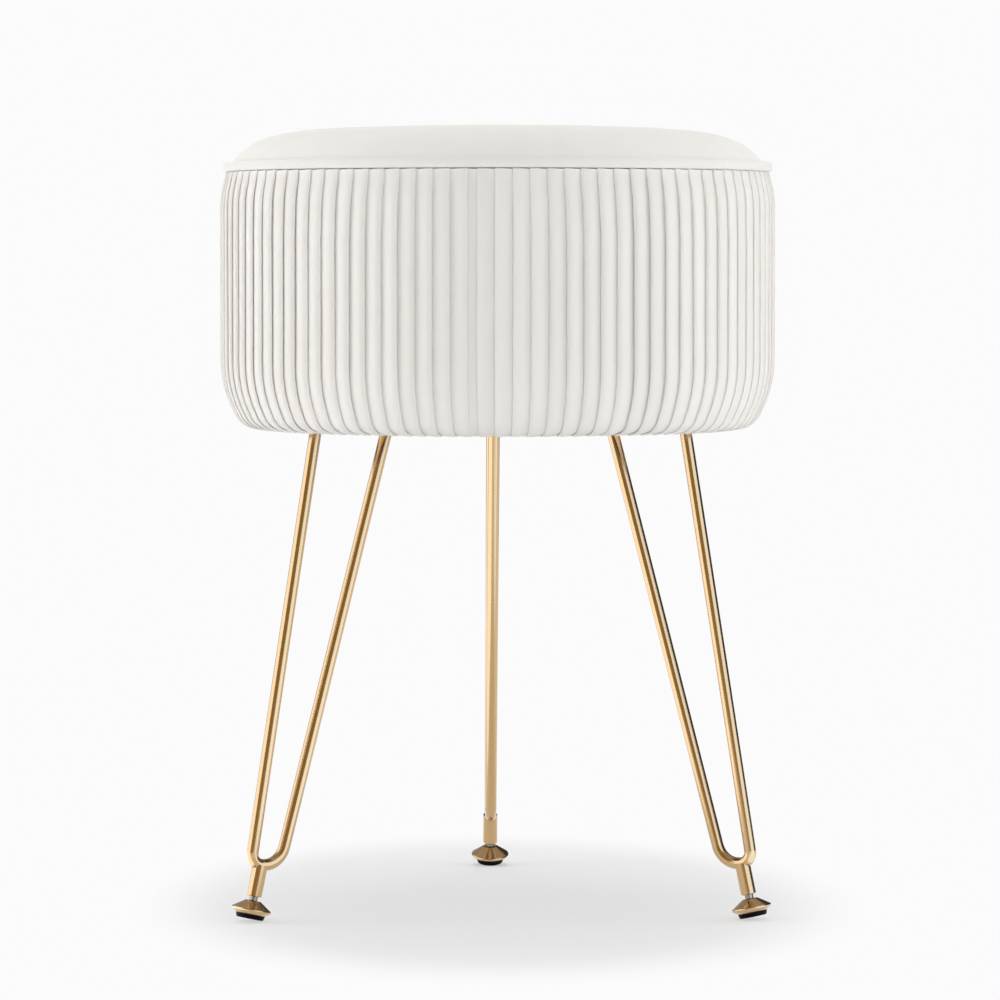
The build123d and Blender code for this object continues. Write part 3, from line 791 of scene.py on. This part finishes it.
# %% Birch plywood
def make_plywood(name, layers):
    """Birch plywood with its plies stacked up the Z axis, or out from the drum's axis."""
    grain_width, grain_stretch, grain_depth, ply_pair = 3 * MM, 0.06, 0.2 * MM, 3.0 * MM
    finish, tree, shader, place = start_finish(name, Specular_IOR_Level=0.35)
    veneer = add_node(tree, "ShaderNodeMapping", {"Vector": place, "Scale": (1, grain_stretch, 1)})
    grain = add_node(
        tree, "ShaderNodeTexNoise",
        {"Vector": veneer.outputs["Vector"], "Scale": 1 / grain_width, "Detail": 5.0},
    )
    ramp = add_node(tree, "ShaderNodeValToRGB", {"Fac": grain.outputs["Fac"]})
    ramp.color_ramp.elements[0].position, ramp.color_ramp.elements[1].position = 0.3, 0.75
    ramp.color_ramp.elements[0].color = linear("#C9A678")
    ramp.color_ramp.elements[1].color = linear("#E2C9A0")
    axes = add_node(tree, "ShaderNodeSeparateXYZ", {"Vector": place})
    if layers == "Z":
        through = axes.outputs["Z"]
    else:
        flat = add_node(tree, "ShaderNodeCombineXYZ", {"X": axes.outputs["X"], "Y": axes.outputs["Y"]})
        radius = add_node(tree, "ShaderNodeVectorMath", {0: flat.outputs[0]}, operation="LENGTH")
        through = radius.outputs["Value"]
    pairs = add_node(tree, "ShaderNodeMath", {0: through, 1: 1 / ply_pair}, operation="MULTIPLY")
    part = add_node(tree, "ShaderNodeMath", {0: pairs.outputs[0]}, operation="FRACT")
    dark = add_node(tree, "ShaderNodeMath", {0: part.outputs[0], 1: 0.5}, operation="GREATER_THAN")
    layer = add_node(
        tree, "ShaderNodeMix", {0: dark.outputs[0], 6: ramp.outputs["Color"], 7: linear("#B98F5E")},
        data_type="RGBA",
    )
    normal = add_node(tree, "ShaderNodeNewGeometry").outputs["True Normal"]
    facing = add_node(tree, "ShaderNodeSeparateXYZ", {"Vector": normal})
    upright = add_node(tree, "ShaderNodeMath", {0: facing.outputs["Z"]}, operation="ABSOLUTE")
    test = "LESS_THAN" if layers == "Z" else "GREATER_THAN"
    cut_edge = add_node(tree, "ShaderNodeMath", {0: upright.outputs[0], 1: 0.5}, operation=test)
    colour = add_node(
        tree, "ShaderNodeMix", {0: cut_edge.outputs[0], 6: ramp.outputs["Color"], 7: layer.outputs[2]},
        data_type="RGBA",
    )
    tree.links.new(colour.outputs[2], shader.inputs["Base Color"])
    lay_pattern(tree, shader, grain.outputs["Fac"], gloss=(0.5, 0.7), relief=(0.15, grain_depth))
    return finish


dress(make_plywood("birch_plywood_board", "Z"), "drum_base_board", "lid_board", "lid_locating_disc")
dress(make_plywood("bent_birch_plywood", "radius"), "drum_wall")
print("plywood on 4 nodes")

# %% [markdown]
# Upholstery foam is open-cell polyurethane, cream-coloured, with cells of about a millimetre that look like
# a fine sponge. Noise would give soft blotches, so a Voronoi pattern, whose cells have edges, is used.

# %% Open-cell foam
cell_size, cell_depth = 1.2 * MM, 0.4 * MM
foam_finish, tree, shader, place = start_finish("open_cell_foam", Roughness=0.95, Specular_IOR_Level=0.1)
cells = add_node(tree, "ShaderNodeTexVoronoi", {"Vector": place, "Scale": 1 / cell_size})
lay_pattern(tree, shader, cells.outputs["Distance"], tones=("#CFC08C", "#EFE6C2"), relief=(0.5, cell_depth))
dress(foam_finish, padding, foam)
print("foam on", padding.name, foam.name)

# %% [markdown]
# The linings are spun-bonded cloth: fibres pressed into a sheet, with a regular grid of bond points about
# 2 mm apart, which look like small dimples. The lining is pale, and the dust cloth under the base is black.
# A weave would be wrong for this cloth, so its relief is a tangle of noise with the dimples pressed into it.

# %% Spun-bonded cloth
def make_spunbond(name, dark_colour, light_colour):
    """Non-woven cloth with fibre tangle and a grid of pressed bond points."""
    tangle_size, bond_spacing, relief_depth = 1.2 * MM, 2.0 * MM, 0.2 * MM
    finish, tree, shader, place = start_finish(name, Roughness=0.88, Specular_IOR_Level=0.2, Sheen_Weight=0.1)
    tangle = add_node(
        tree, "ShaderNodeTexNoise",
        {"Vector": place, "Scale": 1 / tangle_size, "Detail": 5.0, "Distortion": 1.5},
    )
    lay_pattern(tree, shader, tangle.outputs["Fac"], tones=(dark_colour, light_colour), stops=(0.3, 0.7))
    bonds = add_node(
        tree, "ShaderNodeTexVoronoi", {"Vector": place, "Scale": 1 / bond_spacing, "Randomness": 0.0}
    )
    dimple = add_node(
        tree, "ShaderNodeMapRange", {"Value": bonds.outputs["Distance"], "From Min": 0.2, "From Max": 0.35}
    )
    relief = add_node(
        tree, "ShaderNodeMath", {0: tangle.outputs["Fac"], 1: dimple.outputs["Result"]}, operation="MULTIPLY"
    )
    lay_pattern(tree, shader, relief.outputs[0], relief=(0.4, relief_depth))
    return finish


dress(make_spunbond("pale_lining", "#BFBBB1", "#D9D6CD"), floor_lining, wall_lining, lid_lining)
dress(make_spunbond("black_dust_cloth", "#0E0E0E", "#242423"), dust)
print("spun-bonded cloth on 4 pieces")

# %% [markdown]
# The studio is a white sweep. Lamps strong enough to make it white would bleach the velvet, so the floor
# glows as white as the background wherever it is seen, except in an oval under the stool. There it is a plain
# white floor in part, and takes the stool's shadow.

# %% Floor
def see_background(tree):
    """A socket that is 1 for what the camera, reflections and glass see, and 0 for light on the object."""
    light_path = add_node(tree, "ShaderNodeLightPath")
    seen = light_path.outputs["Is Camera Ray"]
    for ray in ("Is Glossy Ray", "Is Transmission Ray"):
        either = add_node(tree, "ShaderNodeMath", {0: seen, 1: light_path.outputs[ray]}, operation="MAXIMUM")
        seen = either.outputs[0]
    return seen


background = linear("#FCFBFC")
oval_across, oval_deep = 0.185, 0.28  # half sizes of the shadow's oval, in metres
bpy.ops.object.select_all(action="DESELECT")
bpy.ops.mesh.primitive_plane_add(size=30, location=(0, 0, -0.1 * MM))
floor = bpy.context.object
floor.name = floor.data.name = "studio_floor"
sweep, tree, shader, place = start_finish(
    "white_sweep", Base_Color=linear("#F4F4F4"), Roughness=0.9, Specular_IOR_Level=0.0
)
oval = add_node(tree, "ShaderNodeMapping", {"Vector": place, "Scale": (1 / oval_across, 1 / oval_deep, 0)})
from_middle = add_node(tree, "ShaderNodeVectorMath", {0: oval.outputs["Vector"]}, operation="LENGTH")
# Painted shade: less glow towards the back lets more of the shadow through, so it reads a little deeper there
backwards = add_node(tree, "ShaderNodeSeparateXYZ", {"Vector": place}).outputs["Y"]
painted_shadow_depth = add_node(
    tree, "ShaderNodeMapRange",
    {"Value": backwards, "From Min": -0.12, "From Max": 0.2, "To Min": 0.58, "To Max": 0.35},
)
# Painted shadow outline: the oval's soft edge fades the stool's shadow into the glow
fade = add_node(
    tree, "ShaderNodeMapRange",
    {
        "Value": from_middle.outputs["Value"], "From Min": 0.8, "From Max": 1.2,
        "To Min": painted_shadow_depth.outputs["Result"], "To Max": 1.0,
    },
    interpolation_type="SMOOTHSTEP",
)
glow_share = add_node(
    tree, "ShaderNodeMath", {0: see_background(tree), 1: fade.outputs["Result"]}, operation="MULTIPLY"
)
glow = add_node(tree, "ShaderNodeEmission", {"Color": background, "Strength": 1.0})
mix = add_node(
    tree, "ShaderNodeMixShader", {0: glow_share.outputs[0], 1: shader.outputs[0], 2: glow.outputs[0]}
)
tree.links.new(mix.outputs[0], tree.nodes["Material Output"].inputs["Surface"])
floor.data.materials.append(sweep)
print("floor made, its shadow", 2 * oval_across, "by", 2 * oval_deep, "m")

# %% [markdown]
# Soft light comes from all round, and more from the walls than from the ceiling, as in a white room lit by
# windows. An even world would light the lid's top as strongly as the drum's side, so its strength falls with
# height. The background itself is a separate, even white.

# %% World
wall_light, ceiling_light = 0.62, 0.27
world = bpy.data.worlds.new("studio_air")
bpy.context.scene.world = world
world.use_nodes = True
tree = world.node_tree
direction = add_node(tree, "ShaderNodeTexCoord").outputs["Generated"]
climb = add_node(tree, "ShaderNodeSeparateXYZ", {"Vector": direction}).outputs["Z"]
air_strength = add_node(
    tree, "ShaderNodeMapRange",
    {"Value": climb, "To Min": wall_light, "To Max": ceiling_light},
)
air = add_node(
    tree, "ShaderNodeBackground", {"Color": linear("#FFFFFF"), "Strength": air_strength.outputs["Result"]}
)
white = add_node(tree, "ShaderNodeBackground", {"Color": background, "Strength": 1.0})
mix = add_node(tree, "ShaderNodeMixShader", {0: see_background(tree), 1: air.outputs[0], 2: white.outputs[0]})
tree.links.new(mix.outputs[0], tree.nodes["World Output"].inputs["Surface"])
print("world:", wall_light, "from the walls,", ceiling_light, "from the ceiling")

# %% [markdown]
# Broad lamps stand above, at both sides and in front. Small ones would draw hard shadows between the pleats.
# Reflections don't see the lamps, because what the gold shows is set up on its own in the next step.

# %% Lamps
def add_lamp(name, location, target, size, power):
    """A square area lamp at a place, turned to a target, in metres and watts."""
    bpy.ops.object.select_all(action="DESELECT")
    bpy.ops.object.light_add(type="AREA", location=location)
    lamp = bpy.context.object
    lamp.name = lamp.data.name = name
    lamp.rotation_euler = (Vector(target) - Vector(location)).to_track_quat("-Z", "Y").to_euler()
    lamp.data.size, lamp.data.energy = size, power
    lamp.visible_glossy = lamp.visible_camera = False
    print(name, "of", power, "W")


seat = (0, 0, 0.36)
add_lamp("overhead_lamp", (0.0, 0.45, 2.05), (0, 0, 0.4), 1.1, 14)
add_lamp("left_lamp", (-2.0, 0.1, 0.42), seat, 1.5, 22)
add_lamp("right_lamp", (2.0, 0.1, 0.42), seat, 1.8, 21)
add_lamp("front_lamp", (0.3, -3.0, 0.25), seat, 2.2, 38.5)

# %% [markdown]
# Gold shows what stands round it. In an empty white room the bars would be flat and pale, so a ring of large
# cards, which only reflections see, gives each bar its bright and dark stripes. A dim ceiling closes the
# ring, and is what the sloping foot pads show.

# %% Cards and ceiling
# Degrees to the right of the camera, seen from the stool, with the card's tint, its brightness and, where it
# turns forward along the floor, as a sweep does, how near it comes to the stool's middle
cards = {
    "front": (-50, 20, "#FFD37A", 0.29, None),
    "front_right": (20, 78, "#C6D6F4", 2.3, 0.21),
    "right": (78, 134, "#FFF0E0", 0.02, None),
    "back_right": (134, 180, "#FFF0E0", 0.02, None),
    "back_left": (180, 228, "#FFFFFF", 0.3, None),
    "left_back": (228, 269, "#EEF2FF", 1.7, 0.19),
    "left_front": (269, 310, "#EEF2FF", 1.9, 0.19),
}
card_distance, card_low, card_top = 2.4, 0.5 * MM, 2.1
card_middle = (card_low + card_top) / 2


def light_card(card, name, tint, strength):
    """Name a sheet and make it glow, seen by reflections only."""
    card.name = card.data.name = f"studio_card_{name}"
    face, *_ = start_finish(
        f"card_{name}", Base_Color=linear("#000000"), Emission_Color=linear(tint), Emission_Strength=strength
    )
    card.data.materials.append(face)
    card.visible_camera = card.visible_diffuse = card.visible_shadow = card.visible_transmission = False


for name, (first, last, tint, strength, nearest) in cards.items():
    half_angle = math.radians(last - first) / 2
    facing = math.radians(first + last) / 2
    away = card_distance * math.cos(half_angle)
    bpy.ops.object.select_all(action="DESELECT")
    bpy.ops.mesh.primitive_plane_add(
        size=1, location=(away * math.sin(facing), -away * math.cos(facing), card_middle)
    )
    card = bpy.context.object
    card.scale = (2 * card_distance * math.sin(half_angle), card_top - card_low, 1)
    card.rotation_euler = (math.radians(90), 0, facing)
    bpy.ops.object.transform_apply(location=True, rotation=True, scale=True)
    if nearest:
        select_points(card, [corner.co.z < card_low + MM for corner in card.data.vertices])
        bpy.ops.mesh.extrude_edges_move()
        shrink = nearest / card_distance
        bpy.ops.transform.resize(value=(shrink, shrink, 1), center_override=(0, 0, card_low))
        bpy.ops.object.mode_set(mode="OBJECT")
    light_card(card, name, tint, strength)

bpy.ops.object.select_all(action="DESELECT")
bpy.ops.mesh.primitive_circle_add(
    vertices=48, radius=card_distance, fill_type="NGON", location=(0, 0, card_top)
)
light_card(bpy.context.object, "ceiling", "#FFF0E0", 0.4)
print(len(cards), "cards and a ceiling made")

# %% [markdown]
# The camera stands low, at the height of the seat and almost straight in front, with a long lens. Its place
# was worked out from the photograph by fitting the drum, the lid's dome and the three feet. Turning it by eye
# would bring the outline close, but not the foot pads as well.

# %% Camera
camera_place = Vector((-81.2, -2832.6, 389.0)) * MM
camera_yaw, camera_pitch = math.radians(1.67), math.radians(3.0075)
bpy.ops.object.select_all(action="DESELECT")
bpy.ops.object.camera_add(location=camera_place)
camera = bpy.context.object
level_aim = math.cos(camera_pitch)
aim = Vector((math.sin(camera_yaw) * level_aim, math.cos(camera_yaw) * level_aim, -math.sin(camera_pitch)))
camera.rotation_euler = aim.to_track_quat("-Z", "Y").to_euler()
camera.data.sensor_width = 36.0
camera.data.lens = 171.42
bpy.context.scene.camera = camera
bpy.context.scene.view_settings.view_transform = "Standard"
print("camera at", [round(x, 3) for x in camera.location], "m")
